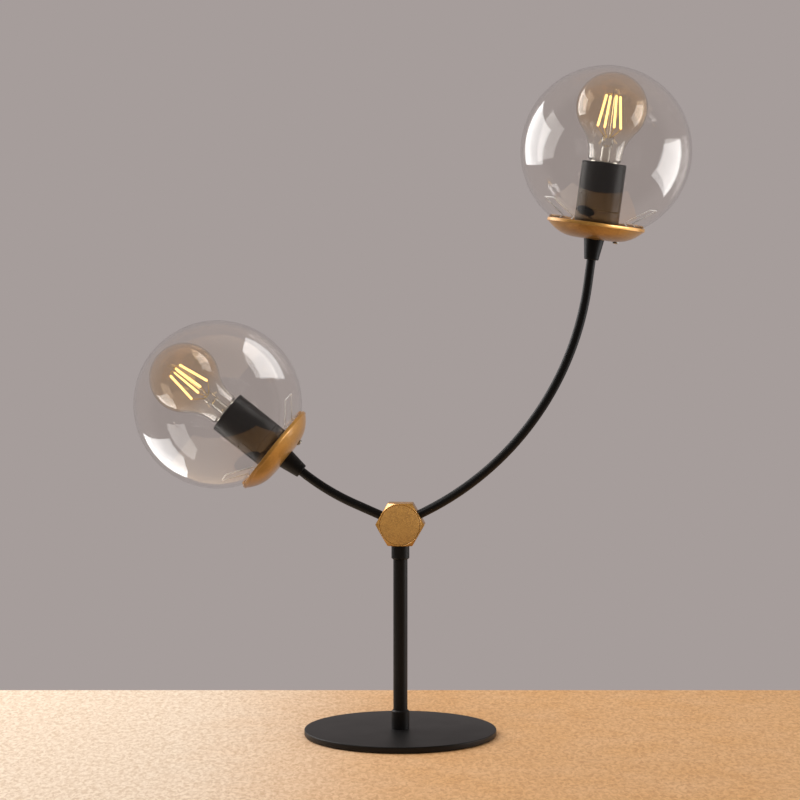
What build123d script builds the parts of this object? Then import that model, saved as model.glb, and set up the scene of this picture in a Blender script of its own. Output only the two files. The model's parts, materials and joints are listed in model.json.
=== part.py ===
from build123d import *
from collections import namedtuple
from math import atan2, cos, degrees, hypot, radians, sin, sqrt, tan
import os

# Two-light table lamp, in millimetres, +Z up. The origin is the centre of the
# underside, on the axis of the stem. The two arms curve out in the XZ plane,
# the long one towards +X and the short one towards -X, and the front is -Y.

# Base, foot pad and the fixing under the stem
base_dia = 171.5
base_thick = 5.0
base_edge_chamfer = 0.6
pad_dia = 164.0
pad_thick = 1.0
thread_dia = 10.0
nipple_bore = 7.0
thread_nut_flats = 14.0
nut_edge = 0.5
base_nut_thick = 2.7
base_recess_dia = 19.0
base_recess_depth = 3.0

# Stem and its two collars
collar_dia = 16.0
lower_collar_height = 17.0
lower_collar_chamfer = 1.2
upper_collar_height = 12.0
upper_collar_chamfer = 0.8
stem_dia = 12.7
stem_wall = 1.5
stem_visible = 135.5
lower_socket_depth = 4.0
upper_socket_depth = 6.0
base_nipple_reach = 4.5
stem_nut_thick = 3.4
stem_spigot_past_nut = 1.7

# Cord entry at the back of the lower collar
cord_bore = 5.4
bushing_wall = 0.8
bushing_flange_dia = 9.4
bushing_flange_thick = 1.2
bushing_tail = 3.9
bushing_edge = 0.4
cord_hole_height = 8.2
collar_flat_depth = 0.7

# Six-sided hub and its back cover
hub_flats = 38.0
hub_depth = 18.0
hub_corner_round = 1.0
hub_face_dia = 35.2
hub_face_step = 0.5
hub_face_round = 0.45
hub_chamfer_angle = 30.0
hub_front_wall = 2.6
hub_cavity_dia = 30.0
hub_seat = 15.2
cover_dia = 32.4
cover_thick = 1.8
cover_key_dia = 2.6
cover_key_spacing = 20.0
cover_key_depth = 0.9
block_width = 9.0
block_height = 8.0
block_edge_round = 0.5

# Arms: angles above the horizontal, straight run from the hub centre, bend, last straight run
arm_dia = 8.0
arm_bore = 5.4
lead_dia = 3.8
long_arm_start = 27.2
long_arm_end = 82.5
long_arm_bend_radius = 265.0
long_arm_straight = 26.5
long_arm_tail = 21.7
short_arm_start = 23.6
short_arm_end = 38.4
short_arm_bend_radius = 212.0
short_arm_straight = 44.5
short_arm_tail = 0.6
arm_nut_flats = 12.0
arm_nut_thick = 4.0
arm_washer_dia = 14.0
arm_washer_thick = 1.0
arm_past_nut = 0.8
lead_past_arm = 2.7

# Cone under each dish
cone_len = 18.0
cone_foot_dia = 12.6
cone_top_dia = 18.0
cone_edge_round = 1.0
cone_socket = 8.0

# Glass globe
globe_dia = 150.0
globe_wall = 2.0
globe_mouth_dia = 69.8
globe_edge_flat = 1.0

# Spun dish, with a band round its rim
dish_depth = 14.8
dish_wall = 1.2
dish_flat_radius = 12.0
dish_band_height = 3.4
dish_band_wall = 1.8
dish_band_step = 0.6
dish_band_round = 0.7
dish_rim_gap = 2.8

# Pressed plate in the dish, which carries the spring clips and the globe
plate_wall = 0.8
plate_flat_margin = 1.0
plate_rim_depth = 3.7
plate_rim_margin = 3.5
plate_knee_margin = 1.9

# Hairpin spring clips, three to a dish, at angles from the front towards the right. Insets and rises are
# from the globe's mouth.
clip_wire_dia = 1.2
clip_angles = (65.0, -55.0, 185.0)
clip_foot_inset = 6.4
clip_catch_inset = 0.6
clip_pinch_inset = 3.7
clip_tip_radius = 52.0
clip_foot_half = 11.8
clip_catch_half = 8.8
clip_pinch_half = 8.5
clip_tip_half = 7.1
clip_foot_below = 1.2
clip_foot_rise = 1.4
clip_catch_rise = 4.0
clip_pinch_rise = 6.6
clip_tip_rise = 20.7
clip_bend_radius = 1.1

# Earth screw through the dish
earth_offset = 8.0
earth_screw_dia = 2.9
earth_head_dia = 5.6
earth_head_height = 1.6
earth_head_round = 0.84
earth_nut_flats = 5.5
earth_nut_thick = 1.6
earth_nut_edge = 0.2
earth_screw_past_nut = 0.2

# Lampholder: base with a snap tongue, shell, core, screw shell and contacts
holder_dia = 39.0
holder_wall = 1.8
holder_base_height = 23.4
holder_floor = 4.0
holder_plate_gap = 0.8
holder_seam_chamfer = 0.4
holder_top_round = 1.0
holder_mouth_dia = 31.2
holder_mouth_lip = 1.5
tongue_angle = -48.0
tongue_span = 26.0
tongue_height = 13.6
tongue_gap = 0.9
tongue_side_gap = 1.3
slot_angle = -69.0
slot_span = 20.0
slot_height = 0.9
slot_depth = 0.8
head_nipple_past_floor = 1.0
core_floor = 4.0
core_floor_below_mouth = 29.0
core_below_lip = 4.0
shell_metal = 0.4
core_shell_gap = 0.2
shell_flange_bore = 16.0
shell_below_core = 1.0
contact_width = 5.0
contact_length = 13.0
contact_metal = 0.6
contact_height = 3.2
terminal_screw_dia = 3.0
terminal_head_dia = 5.0
terminal_head_height = 2.4
terminal_spacing = 16.0
terminal_screw_depth = 3.0
lead_below_terminal = 0.8

# Bulb with a screw cap and four bright sticks inside
bulb_dia = 63.0
bulb_len = 105.5
bulb_wall = 0.8
bulb_neck_dia = 30.0
bulb_neck_len = 1.5
bulb_shoulder = 1.8
bulb_foot_gap = 0.3
bulb_crown_gap = 3.2
cap_crest_dia = 26.4
cap_thread_depth = 0.5
cap_thread_pitch = 3.63
cap_turns = 4
cap_collar_height = 4.5
cap_metal = 0.4
cap_inset = 0.3
tip_dia = 9.2
tip_height = 2.0
tip_edge = 1.0
insulator_height = 5.5
glass_in_cap = 6.0
stem_flare_height = 7.0
stem_glass_dia = 9.0
stem_glass_wall = 0.8
press_foot_height = 42.5
press_height = 7.0
press_width = 10.0
press_thick = 4.0
rod_dia = 2.6
rod_top_below_crown = 14.0
stick_dia = 2.2
stick_foot_circle = 22.0
stick_top_circle = 13.0
stick_length = 29.0
stick_top_below_crown = 20.6
stick_first_angle = 22.0
wire_dia = 0.6

# Gaps: seat for pieces that are fixed together, run for pieces that turn or slide
seat_gap = 0.05
run_gap = 0.05
thread_gap = 0.35
globe_seat_gap = 0.2
wire_hole_gap = 0.25
small_gap = 0.1
block_gap = 0.45
nut_corner_gap = 0.4
cut_past = 1.0

# Heights up the stem
pad_top = pad_thick
base_top = pad_top + base_thick
lower_collar_top = base_top + lower_collar_height
stem_foot = lower_collar_top - lower_socket_depth
upper_collar_foot = lower_collar_top + stem_visible
stem_top = upper_collar_foot + upper_socket_depth
hub_foot = upper_collar_foot + upper_collar_height
hub_z = hub_foot + hub_flats / 2
base_recess_top = pad_top + base_recess_depth
cord_z = base_top + cord_hole_height
thread_r = thread_dia / 2

# Heights in a head, measured along its axis from the plane of the dish's rim
dish_foot = -dish_depth
dish_floor = dish_foot + dish_wall
cone_foot = dish_foot - cone_len
arm_end = cone_foot + cone_socket
plate_floor = dish_floor + plate_wall
plate_rim = -plate_rim_depth
holder_foot = plate_floor
holder_seam = holder_foot + holder_base_height
globe_foot = plate_rim + globe_seat_gap
globe_r = globe_dia / 2
globe_centre = globe_foot + sqrt(globe_r ** 2 - (globe_mouth_dia / 2) ** 2)

# The crown of the bulb stands a gap below the crown of the globe. That sets the lampholder's height.
bulb_top = globe_centre + globe_r - globe_wall - bulb_crown_gap
bulb_foot = bulb_top - bulb_len
contact_top = bulb_foot - bulb_foot_gap
core_floor_top = contact_top - contact_height
core_foot = core_floor_top - core_floor
holder_top = core_floor_top + core_floor_below_mouth
core_top = holder_top - core_below_lip
cap_foot = bulb_foot + tip_height + insulator_height
cap_top = cap_foot + cap_turns * cap_thread_pitch + cap_collar_height
lead_end = core_foot - terminal_head_height - lead_below_terminal

# Radii in a head
mouth_outer = globe_mouth_dia / 2
mouth_inner = mouth_outer - globe_edge_flat
plate_outer = mouth_outer + plate_rim_margin
dish_band_inner = plate_outer + dish_rim_gap
dish_outer = dish_band_inner + dish_band_wall
bowl_outer = dish_outer - dish_band_step
bowl_inner = bowl_outer - dish_wall
plate_flat = dish_flat_radius - plate_flat_margin
clip_foot_radius = mouth_inner - clip_foot_inset
clip_hole_circle = hypot(clip_foot_radius, clip_foot_half)
plate_knee = clip_hole_circle - plate_knee_margin
plate_slope = (plate_rim - plate_floor) / (plate_knee - plate_flat)
holder_r = holder_dia / 2
holder_inner = holder_r - holder_wall
core_outer = holder_inner - core_shell_gap
shell_inner = cap_crest_dia / 2 + thread_gap
shell_outer = shell_inner + shell_metal
core_inner = shell_outer + small_gap
earth_radius = plate_flat + earth_offset

Arm = namedtuple("Arm", "name start turn bend straight tail")
long_arm = Arm(
    "long", long_arm_start, long_arm_end - long_arm_start, long_arm_bend_radius, long_arm_straight, long_arm_tail
)
short_arm = Arm(
    "short", 180 - short_arm_start, short_arm_start - short_arm_end, short_arm_bend_radius, short_arm_straight,
    short_arm_tail,
)
arms = (long_arm, short_arm)


def turned(outline):
    """Solid turned about Z from a closed outline of (radius, height) points or edges."""
    if isinstance(outline, list):
        outline = Polyline(*outline, close=True)
    return revolve(Plane.XZ * make_face(outline), Axis.Z)


def ring(outer, inner, low, high):
    """Plain ring or bush about Z."""
    return turned([(inner, low), (outer, low), (outer, high), (inner, high)])


def rod(radius, low, high):
    """Plain round rod about Z."""
    return Pos(0, 0, low) * Cylinder(radius, high - low, align=(Align.CENTER, Align.CENTER, Align.MIN))


def sector(outer, inner, low, high, middle, span):
    """Part of a ring. Its middle is an angle from the front, -Y, towards the right, +X."""
    face = make_face(Polyline((inner, low), (outer, low), (outer, high), (inner, high), close=True))
    first = middle - 90 - span / 2
    return Rot(0, 0, first) * revolve(Plane.XZ * face, Axis.Z, span)


def hexagon_nut(flats, bore, low, high, edge=nut_edge):
    """Hexagon nut about Z with its corners turned down at both faces, flats towards Y."""
    corner = flats / sqrt(3)
    blank = Pos(0, 0, low) * extrude(RegularPolygon(corner, 6), high - low)
    inset = flats / 2
    envelope = turned([
        (0, low), (inset, low), (corner, low + edge), (corner, high - edge), (inset, high), (0, high),
    ])
    return (blank & envelope) - rod(bore, low - cut_past, high + cut_past)


def stick_between(start, end, radius):
    """Straight round stick from one point to another."""
    start = Vector(*start)
    along = Vector(*end) - start
    return extrude(Plane(origin=start, z_dir=along) * Circle(radius), along.length)


def along_arm(arm):
    """Frame at the hub centre with Z out along the arm and Y to the back."""
    a = radians(arm.start)
    return Location(Plane(origin=(0, 0, hub_z), x_dir=(sin(a), 0, -cos(a)), z_dir=(cos(a), 0, sin(a))))


def arm_path(arm, start, past_cone_foot):
    """Middle line of an arm: straight, bend, straight. It ends past the foot of the cone."""
    a = radians(arm.start)
    out = Vector(cos(a), sin(a))
    centre = Vector(0, hub_z)
    first = Line(centre + out * start, centre + out * arm.straight)
    bend = JernArc(first @ 1, first % 1, arm.bend, arm.turn)
    last = Line(bend @ 1, (bend @ 1) + (bend % 1) * (arm.tail + past_cone_foot))
    return Plane.XZ * (first + bend + last)


def head_frame(arm):
    """Frame of a head: origin in the plane of the dish's rim, Z out along the bulb, Y to the back."""
    path = arm_path(arm, hub_seat, -cone_foot)
    axis = path % 1
    return Location(Plane(origin=path @ 1, x_dir=(axis.Z, 0, -axis.X), z_dir=axis))


def pipe(path, outer, bore=0.0):
    """Round bar or tube along a path."""
    section = Circle(outer / 2)
    if bore:
        section -= Circle(bore / 2)
    return sweep(Plane(origin=path @ 0, z_dir=path % 0) * section, path=path)


# Base and stem


def base_plate():
    outer = base_dia / 2
    c = base_edge_chamfer
    blank = turned([
        (0, pad_top), (outer - c, pad_top), (outer, pad_top + c),
        (outer, base_top - c), (outer - c, base_top), (0, base_top),
    ])
    recess = rod(base_recess_dia / 2, pad_top - cut_past, base_recess_top)
    return blank - recess - rod(thread_r + seat_gap, 0, base_top + cut_past)


def base_pad():
    return rod(pad_dia / 2, 0, pad_top)


def base_nipple():
    foot = base_recess_top - base_nut_thick + small_gap
    return ring(thread_r, nipple_bore / 2, foot, base_top + base_nipple_reach)


def base_nut():
    return hexagon_nut(thread_nut_flats, thread_r + seat_gap, base_recess_top - base_nut_thick, base_recess_top)


def lower_collar():
    r = collar_dia / 2
    c = lower_collar_chamfer
    body = turned([(0, base_top), (r, base_top), (r, lower_collar_top - c), (r - c, lower_collar_top),
                   (0, lower_collar_top)])
    body -= rod(thread_r + seat_gap, base_top - cut_past, stem_foot)
    body -= rod(stem_dia / 2 + seat_gap, stem_foot, lower_collar_top + cut_past)
    hole = cord_bore / 2 + bushing_wall + seat_gap
    flat = bushing_flange_dia / 2 + small_gap
    face = r - collar_flat_depth
    return body - to_back(rod(hole, 0, r)) - to_back(rod(flat, face, r + cut_past))


def to_back(shape):
    """Turns a piece made about Z so that it points to the back at the height of the cord hole."""
    return Pos(0, 0, cord_z) * Rot(-90, 0, 0) * shape


def cord_bushing():
    face = collar_dia / 2 - collar_flat_depth
    inner = cord_bore / 2
    body = inner + bushing_wall
    flange = bushing_flange_dia / 2
    out = face + bushing_flange_thick
    return to_back(turned([
        (inner, face - bushing_tail), (body, face - bushing_tail), (body, face), (flange, face),
        (flange, out - bushing_edge), (flange - bushing_edge, out), (inner, out),
    ]))


def stem_tube():
    r = stem_dia / 2
    return ring(r, r - stem_wall, stem_foot, stem_top)


def stem_nut_foot():
    return hub_z - hub_seat


def upper_collar():
    r = collar_dia / 2
    c = upper_collar_chamfer
    spigot_top = stem_nut_foot() + stem_nut_thick + stem_spigot_past_nut
    body = turned([
        (0, upper_collar_foot), (r - c, upper_collar_foot), (r, upper_collar_foot + c), (r, hub_foot),
        (thread_r, hub_foot), (thread_r, spigot_top), (0, spigot_top),
    ])
    body -= rod(stem_dia / 2 + seat_gap, upper_collar_foot - cut_past, stem_top)
    return body - rod(nipple_bore / 2, stem_top, spigot_top + cut_past)


def stem_nut():
    foot = stem_nut_foot() + seat_gap
    return hexagon_nut(thread_nut_flats, thread_r + seat_gap, foot, foot + stem_nut_thick)


def stem_lead():
    return rod(lead_dia / 2, stem_foot, hub_z - block_height / 2)


# Hub


def hub_front_to_back(shape):
    """Turns a piece made about Z so that its Z points to the back through the hub centre."""
    return Pos(0, 0, hub_z) * Rot(-90, 0, 0) * shape


def hub_body():
    corner = hub_flats / sqrt(3)
    front = -hub_depth / 2
    back = hub_depth / 2
    face = hub_face_dia / 2
    rim = front + hub_face_step
    run = (corner - face) * tan(radians(hub_chamfer_angle))
    section = fillet(RegularPolygon(corner, 6).vertices(), hub_corner_round)
    blank = Pos(0, 0, rim) * extrude(section, back - rim)
    envelope = turned([(0, rim), (face, rim), (corner, rim + run), (corner, back - run), (face, back), (0, back)])
    disc = rod(face, front, front + hub_front_wall)
    body = (blank & envelope) + fillet(disc.edges().sort_by(Axis.Z)[0], hub_face_round)
    body -= rod(hub_cavity_dia / 2, front + hub_front_wall, back + cut_past)
    body -= rod(cover_dia / 2, back - cover_thick, back + cut_past)
    body = hub_front_to_back(body)
    for arm in arms:
        nut_room = max(arm_nut_flats / sqrt(3), arm_washer_dia / 2) + nut_corner_gap
        hole = rod(arm_dia / 2 + run_gap, 0, hub_flats)
        body -= along_arm(arm) * (hole + rod(nut_room, 0, hub_seat))
    stem_room = rod(thread_nut_flats / sqrt(3) + small_gap, stem_nut_foot(), hub_z)
    return body - stem_room - rod(thread_r + seat_gap, hub_foot - cut_past, hub_z)


def hub_cover():
    back = hub_depth / 2
    body = rod(cover_dia / 2 - seat_gap, back - cover_thick, back)
    for side in (-1, 1):
        key = rod(cover_key_dia / 2, back - cover_key_depth, back + cut_past)
        body -= Pos(side * cover_key_spacing / 2, 0, 0) * key
    return hub_front_to_back(body)


def wire_block():
    block = Box(block_width, block_height, block_height)
    block = fillet(block.edges(), block_edge_round)
    for side in (-1, 1):
        dimple = rod(arm_past_nut, block_height / 2 - arm_past_nut, block_height)
        block -= Pos(side * block_width / 4, 0, 0) * dimple
    return Pos(0, 0, hub_z) * Rot(-90, 0, 0) * block


# Arms


def arm_tube_start():
    return hub_seat - small_gap - arm_washer_thick - arm_nut_thick - arm_past_nut


def arm_tube(arm):
    return pipe(arm_path(arm, arm_tube_start(), cone_socket), arm_dia, arm_bore)


def arm_lead(arm):
    start = hypot(block_width, block_height) / 2 + block_gap
    return pipe(arm_path(arm, start, lead_end - cone_foot), lead_dia)


def arm_lock(arm):
    """Washer and lock nut that hold an arm in the hub."""
    washer_top = hub_seat - small_gap
    washer_foot = washer_top - arm_washer_thick
    bore = arm_dia / 2 + seat_gap
    washer = ring(arm_washer_dia / 2, bore, washer_foot, washer_top)
    nut = hexagon_nut(arm_nut_flats, bore, washer_foot - arm_nut_thick, washer_foot)
    return along_arm(arm) * Compound(children=[washer, nut])


# Head, each piece in the head's own frame


def cone():
    small = cone_foot_dia / 2
    large = cone_top_dia / 2
    body = turned([(0, cone_foot), (small, cone_foot), (large, dish_foot), (0, dish_foot)])
    body = fillet(body.edges().sort_by(Axis.Z)[0], cone_edge_round)
    body -= rod(arm_dia / 2 + seat_gap, cone_foot - cut_past, arm_end)
    return body - rod(thread_r + seat_gap, arm_end, dish_foot + cut_past)


def head_nipple():
    top = holder_foot + holder_floor + head_nipple_past_floor
    return ring(thread_r, nipple_bore / 2, arm_end + small_gap, top)


def dish_height(radius, bowl_radius, floor):
    """Height of the bowl's surface at a radius: flat in the middle, then a quarter of an ellipse."""
    share = max(radius - dish_flat_radius, 0) / (bowl_radius - dish_flat_radius)
    return -dish_band_height - (-dish_band_height - floor) * sqrt(1 - share ** 2)


def dish():
    bend = (dish_flat_radius, -dish_band_height)
    hole = thread_r + seat_gap
    back_depth = -dish_band_height - dish_foot
    inside_depth = -dish_band_height - dish_floor
    back = EllipticalCenterArc(bend, bowl_outer - dish_flat_radius, back_depth, 270, arc_size=90)
    inside = EllipticalCenterArc(bend, bowl_inner - dish_flat_radius, inside_depth, 270, arc_size=90)
    r = dish_band_round
    band = [
        back @ 1, (dish_outer, -dish_band_height), (dish_outer, -r), (dish_outer - r, 0),
        (dish_band_inner + r, 0), (dish_band_inner, -r), inside @ 1,
    ]
    outline = Curve() + [
        Line((hole, dish_foot), back @ 0), back, Polyline(*band), inside,
        Line(inside @ 0, (hole, dish_floor)), Line((hole, dish_floor), (hole, dish_foot)),
    ]
    body = turned(outline)
    return body - Pos(earth_radius, 0, 0) * rod(earth_screw_dia / 2 + seat_gap, dish_foot - cut_past, plate_rim)


def clip_plate():
    hole = thread_r + seat_gap
    w = plate_wall
    body = turned([
        (hole, dish_floor), (plate_flat, dish_floor), (plate_knee, plate_rim - w), (plate_outer, plate_rim - w),
        (plate_outer, plate_rim), (plate_knee, plate_rim), (plate_flat, plate_floor), (hole, plate_floor),
    ])
    for angle in clip_angles:
        for side in (-1, 1):
            hole_cut = rod(clip_wire_dia / 2 + wire_hole_gap, plate_rim - 2 * w, plate_rim + cut_past)
            body -= Rot(0, 0, angle - 90) * Pos(clip_foot_radius, side * clip_foot_half, 0) * hole_cut
    return body


def spring_clips():
    catch = mouth_inner - clip_catch_inset
    pinch = mouth_inner - clip_pinch_inset
    foot = plate_rim - plate_wall - clip_foot_below
    leg = [
        (clip_foot_radius, clip_foot_half, foot),
        (clip_foot_radius, clip_foot_half, globe_foot + clip_foot_rise),
        (catch, clip_catch_half, globe_foot + clip_catch_rise),
        (pinch, clip_pinch_half, globe_foot + clip_pinch_rise),
        (clip_tip_radius, clip_tip_half, globe_foot + clip_tip_rise),
    ]
    other = [(x, -y, z) for x, y, z in reversed(leg)]
    path = FilletPolyline(*leg, *other, radius=clip_bend_radius)
    clip = pipe(path, clip_wire_dia)
    return Compound(children=[Rot(0, 0, angle - 90) * clip for angle in clip_angles])


def earth_screw():
    """Screw and nut that fasten the earth wire to the dish."""
    back = dish_height(earth_radius + earth_head_dia / 2, bowl_outer, dish_foot)
    nut_corner = earth_nut_flats / sqrt(3)
    nut_foot = dish_height(earth_radius + nut_corner, bowl_inner, dish_floor) + small_gap
    nut_top = nut_foot + earth_nut_thick
    head_top = dish_height(earth_radius - earth_head_dia / 2, bowl_outer, dish_foot) - small_gap
    head_foot = min(back, head_top) - earth_head_height
    r = earth_head_dia / 2
    screw = turned([
        (0, head_foot), (r - earth_head_round, head_foot), (r, head_foot + earth_head_round), (r, head_top),
        (earth_screw_dia / 2, head_top), (earth_screw_dia / 2, nut_top + earth_screw_past_nut),
        (0, nut_top + earth_screw_past_nut),
    ])
    slot = Pos(0, 0, head_foot) * Box(earth_head_dia, slot_height, slot_depth)
    nut = hexagon_nut(earth_nut_flats, earth_screw_dia / 2 + seat_gap, nut_foot, nut_top, earth_nut_edge)
    return Pos(earth_radius, 0, 0) * Compound(children=[screw - slot, nut])


def holder_base():
    hole = thread_r + seat_gap
    inner = holder_inner - small_gap
    shoulder = plate_floor + (holder_r - plate_flat) * plate_slope + holder_plate_gap
    inner_shoulder = shoulder + holder_floor - (holder_r - inner) * plate_slope
    foot_r = plate_flat - small_gap
    c = holder_seam_chamfer
    body = turned([
        (hole, holder_foot), (foot_r, holder_foot), (holder_r, shoulder), (holder_r, holder_seam - c),
        (holder_r - c, holder_seam), (inner, holder_seam), (inner, inner_shoulder),
        (foot_r, holder_foot + holder_floor), (hole, holder_foot + holder_floor),
    ])
    tongue = sector(
        holder_r - small_gap, holder_inner + small_gap, holder_seam - cut_past, holder_seam + tongue_height,
        tongue_angle, tongue_span,
    )
    slot = sector(
        holder_r + cut_past, holder_r - slot_depth, holder_seam - slot_height, holder_seam + cut_past,
        slot_angle, slot_span,
    )
    return body + tongue - slot


def holder_shell():
    c = holder_seam_chamfer
    r = holder_top_round
    mouth = holder_mouth_dia / 2
    body = turned([
        (holder_inner, holder_seam), (holder_r - c, holder_seam), (holder_r, holder_seam + c),
        (holder_r, holder_top), (mouth, holder_top), (mouth, holder_top - holder_mouth_lip),
        (holder_inner, holder_top - holder_mouth_lip),
    ])
    rim = body.edges().filter_by(GeomType.CIRCLE).sort_by(Axis.Z)[-2:].sort_by(SortBy.RADIUS)[-1]
    body = fillet(rim, r)
    notch = sector(
        holder_r + cut_past, holder_inner - cut_past, holder_seam - cut_past,
        holder_seam + tongue_height + tongue_gap,
        tongue_angle, tongue_span + 2 * tongue_side_gap,
    )
    return body - notch


def holder_core():
    body = rod(core_outer, core_foot, core_top) - rod(core_inner, core_floor_top, core_top + cut_past)
    for side in (-1, 1):
        depth = terminal_screw_depth + small_gap
        hole = rod(terminal_screw_dia / 2 + seat_gap, core_foot - cut_past, core_foot + depth)
        body -= Pos(0, side * terminal_spacing / 2, 0) * hole
    return body


def screw_shell():
    top = core_top - shell_below_core
    flange = core_floor_top + shell_metal
    return turned([
        (shell_flange_bore / 2, core_floor_top), (shell_outer, core_floor_top), (shell_outer, top),
        (shell_inner, top), (shell_inner, flange), (shell_flange_bore / 2, flange),
    ])


def centre_contact():
    """Bent brass leaf that the tip of the bulb presses on."""
    half = contact_length / 2
    crown = contact_width / 2
    low = core_floor_top
    metal = contact_metal
    side = [
        (-half, low), (-crown, low), (-crown / 2, contact_top - metal), (crown / 2, contact_top - metal),
        (crown, low), (half, low), (half, low + metal), (crown + metal, low + metal),
        (crown / 2 + metal / 2, contact_top), (-crown / 2 - metal / 2, contact_top),
        (-crown - metal, low + metal), (-half, low + metal),
    ]
    return extrude(Plane.XZ * make_face(Polyline(*side, close=True)), contact_width / 2, both=True)


def terminal_screws():
    shank = rod(terminal_screw_dia / 2, core_foot, core_foot + terminal_screw_depth)
    head = rod(terminal_head_dia / 2, core_foot - terminal_head_height, core_foot)
    slot = Pos(0, 0, core_foot - terminal_head_height) * Box(terminal_head_dia, slot_height, slot_depth)
    screw = shank + head - slot
    return Compound(children=[Pos(0, side * terminal_spacing / 2, 0) * screw for side in (-1, 1)])


# Bulb


def bulb_outline(inset):
    """Edges of the bulb from the crown down to the neck, drawn in by a wall."""
    ball = bulb_dia / 2
    neck = bulb_neck_dia / 2
    centre = bulb_top - ball
    neck_top = cap_top + bulb_shoulder + bulb_neck_len
    rise = centre - neck_top
    hollow = (rise ** 2 / (ball - neck) - (ball + neck)) / 2
    swing = degrees(atan2(rise, neck + hollow))
    waist = CenterArc((neck + hollow, neck_top), hollow + inset, 180, -swing)
    dome = CenterArc((0, centre), ball - inset, -swing, 90 + swing)
    return waist, dome


def bulb_glass():
    waist, dome = bulb_outline(0)
    inner_waist, inner_dome = bulb_outline(bulb_wall)
    seat = cap_crest_dia / 2 - cap_thread_depth - cap_metal - small_gap
    low = cap_top - glass_in_cap
    inner_seat = seat - bulb_wall
    inner_neck = bulb_neck_dia / 2 - bulb_wall
    start = cap_top + small_gap
    outline = Curve() + [
        Polyline((seat, low), (seat, start), (bulb_neck_dia / 2, cap_top + bulb_shoulder), waist @ 0),
        waist, dome, Line(dome @ 1, inner_dome @ 1), inner_dome, inner_waist,
        Polyline(inner_waist @ 0, (inner_neck, cap_top + bulb_shoulder + small_gap),
                 (inner_seat, start + small_gap), (inner_seat, low), (seat, low)),
    ]
    return turned(outline)


def bulb_cap():
    crest = cap_crest_dia / 2
    valley = crest - cap_thread_depth
    inner = valley - cap_metal
    edges = []
    for turn in range(cap_turns):
        low = cap_foot + turn * cap_thread_pitch
        edges.append(ThreePointArc(
            (valley, low), (crest, low + cap_thread_pitch / 2), (valley, low + cap_thread_pitch)
        ))
    edges.append(Polyline((valley, cap_top - cap_collar_height), (valley, cap_top), (inner, cap_top),
                          (inner, cap_foot), (valley, cap_foot)))
    return turned(Curve() + edges)


def bulb_insulator():
    wide = cap_crest_dia / 2 - cap_thread_depth - cap_inset
    narrow = tip_dia / 2 + cap_inset
    low = bulb_foot + tip_height
    return turned([(0, low), (narrow, low), (wide, cap_foot), (0, cap_foot)])


def bulb_tip():
    r = tip_dia / 2
    low = bulb_foot
    return turned([(0, low), (r / 2, low), (r, low + tip_edge), (r, low + tip_height), (0, low + tip_height)])


def bulb_stem():
    """Glass flare and tube that rise from the cap, the pinch and the rod that carries the sticks."""
    tube = stem_glass_dia / 2
    wall = stem_glass_wall
    flare = cap_crest_dia / 2 - cap_thread_depth - cap_metal - small_gap - bulb_wall - small_gap
    low = cap_top - glass_in_cap
    press_low = bulb_foot + press_foot_height
    body = turned([
        (flare - wall, low), (flare, low), (tube, low + stem_flare_height), (tube, press_low),
        (tube - wall, press_low), (tube - wall, low + stem_flare_height),
    ])
    press = extrude(Ellipse(press_width / 2, press_thick / 2), press_height)
    body += Pos(0, 0, press_low) * press
    return body + rod(rod_dia / 2, press_low, bulb_top - rod_top_below_crown)


def stick_ends(index):
    angle = radians(stick_first_angle + 90 * index)
    top = bulb_top - stick_top_below_crown
    out = (cos(angle), sin(angle))
    drop = sqrt(stick_length ** 2 - ((stick_foot_circle - stick_top_circle) / 2) ** 2)
    low = (out[0] * stick_foot_circle / 2, out[1] * stick_foot_circle / 2, top - drop)
    high = (out[0] * stick_top_circle / 2, out[1] * stick_top_circle / 2, top)
    return low, high


def bulb_sticks():
    ends = [stick_ends(index) for index in range(4)]
    return Compound(children=[stick_between(low, high, stick_dia / 2) for low, high in ends])


def bulb_wires():
    """Support wires: from the pinch to the foot of each stick, and from the rod to its top."""
    press_top = bulb_foot + press_foot_height + press_height
    rod_edge = rod_dia / 2 + small_gap
    pieces = []
    for index in range(4):
        low, high = stick_ends(index)
        angle = radians(stick_first_angle + 90 * index)
        out = (cos(angle), sin(angle))
        start = (out[0] * (rod_edge + wire_dia / 2), out[1] * (rod_edge + wire_dia / 2))
        foot = (low[0], low[1], low[2] - small_gap - wire_dia / 2)
        crown = (high[0], high[1], high[2] + small_gap + wire_dia / 2)
        pieces.append(stick_between((*start, press_top + small_gap), foot, wire_dia / 2))
        pieces.append(stick_between((*start, crown[2]), crown, wire_dia / 2))
    return Compound(children=pieces)


# Globe


def globe_glass():
    inner_r = globe_r - globe_wall
    outer_mouth = degrees(atan2(globe_foot - globe_centre, mouth_outer))
    edge_top = globe_centre - sqrt(inner_r ** 2 - mouth_inner ** 2)
    inner_mouth = degrees(atan2(edge_top - globe_centre, mouth_inner))
    outer = CenterArc((0, globe_centre), globe_r, outer_mouth, 90 - outer_mouth)
    inner = CenterArc((0, globe_centre), inner_r, inner_mouth, 90 - inner_mouth)
    outline = Curve() + [
        outer, Line(outer @ 1, inner @ 1), inner,
        Polyline(inner @ 0, (mouth_inner, globe_foot), (mouth_outer, globe_foot)),
    ]
    return turned(outline)


head_pieces = {
    "cone": cone,
    "dish_nipple": head_nipple,
    "dish": dish,
    "clip_plate": clip_plate,
    "spring_clips": spring_clips,
    "earth_screw": earth_screw,
    "holder_base": holder_base,
    "holder_shell": holder_shell,
    "holder_core": holder_core,
    "screw_shell": screw_shell,
    "centre_contact": centre_contact,
    "terminal_screws": terminal_screws,
    "bulb_glass": bulb_glass,
    "bulb_cap": bulb_cap,
    "bulb_insulator": bulb_insulator,
    "bulb_tip": bulb_tip,
    "bulb_stem": bulb_stem,
    "bulb_sticks": bulb_sticks,
    "bulb_wires": bulb_wires,
    "globe_glass": globe_glass,
}

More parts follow.
